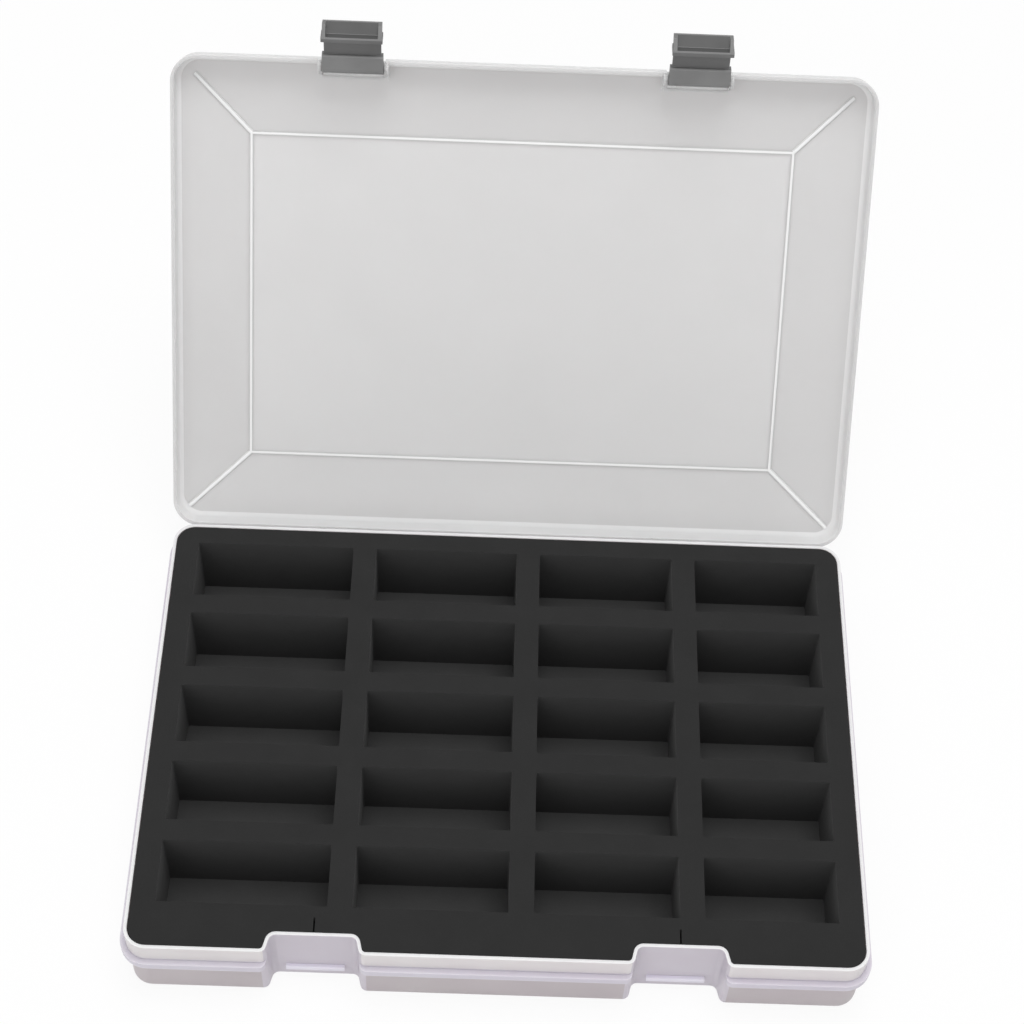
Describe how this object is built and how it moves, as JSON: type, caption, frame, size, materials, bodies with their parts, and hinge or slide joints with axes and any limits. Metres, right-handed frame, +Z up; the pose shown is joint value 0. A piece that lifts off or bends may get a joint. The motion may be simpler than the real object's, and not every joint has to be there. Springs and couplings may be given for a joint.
{
  "type": "model car storage case",
  "caption": "Shallow hinged case with swinging latches and a foam insert cut with rows of pockets, for keeping and showing small model cars.",
  "frame": {"origin": "on the underside of the base, below the centre of its rim, on the surface the case stands on", "axes": "+X to the right as seen from the latches, +Y towards the hinges and the open lid, +Z up"},
  "size_m": [0.3556, 0.4068, 0.2594],
  "materials": {
    "tray_plastic": "milky translucent polypropylene, moulded with a fine satin surface and a bright lip",
    "lid_plastic": "frosted translucent polypropylene with brighter raised lines and edges",
    "latch_plastic": "solid grey polypropylene with a satin surface",
    "foam": "black die-cut closed-cell foam with a matt, finely pitted surface"
  },
  "bodies": {
    "base": {"base_tray": "tray_plastic", "foam_grid": "foam", "foam_floor": "foam"},
    "lid": {"lid": "lid_plastic"},
    "latch_left": {"latch_left": "latch_plastic"},
    "latch_right": {"latch_right": "latch_plastic"}
  },
  "joints": [
    {"name": "lid_hinge", "type": "hinge", "parent": "base", "child": "lid", "pos_m": [0, 0.126, 0.0316], "axis": [1, 0, 0], "range_deg": [0, 126]},
    {"name": "latch_left_pivot", "type": "hinge", "parent": "lid", "child": "latch_left", "pos_m": [-0.0862, 0.26945, 0.23244], "axis": [1, 0, 0], "range_deg": [-90, 60]},
    {"name": "latch_right_pivot", "type": "hinge", "parent": "lid", "child": "latch_right", "pos_m": [0.0862, 0.26945, 0.23244], "axis": [1, 0, 0], "range_deg": [-90, 60]}
  ]
}
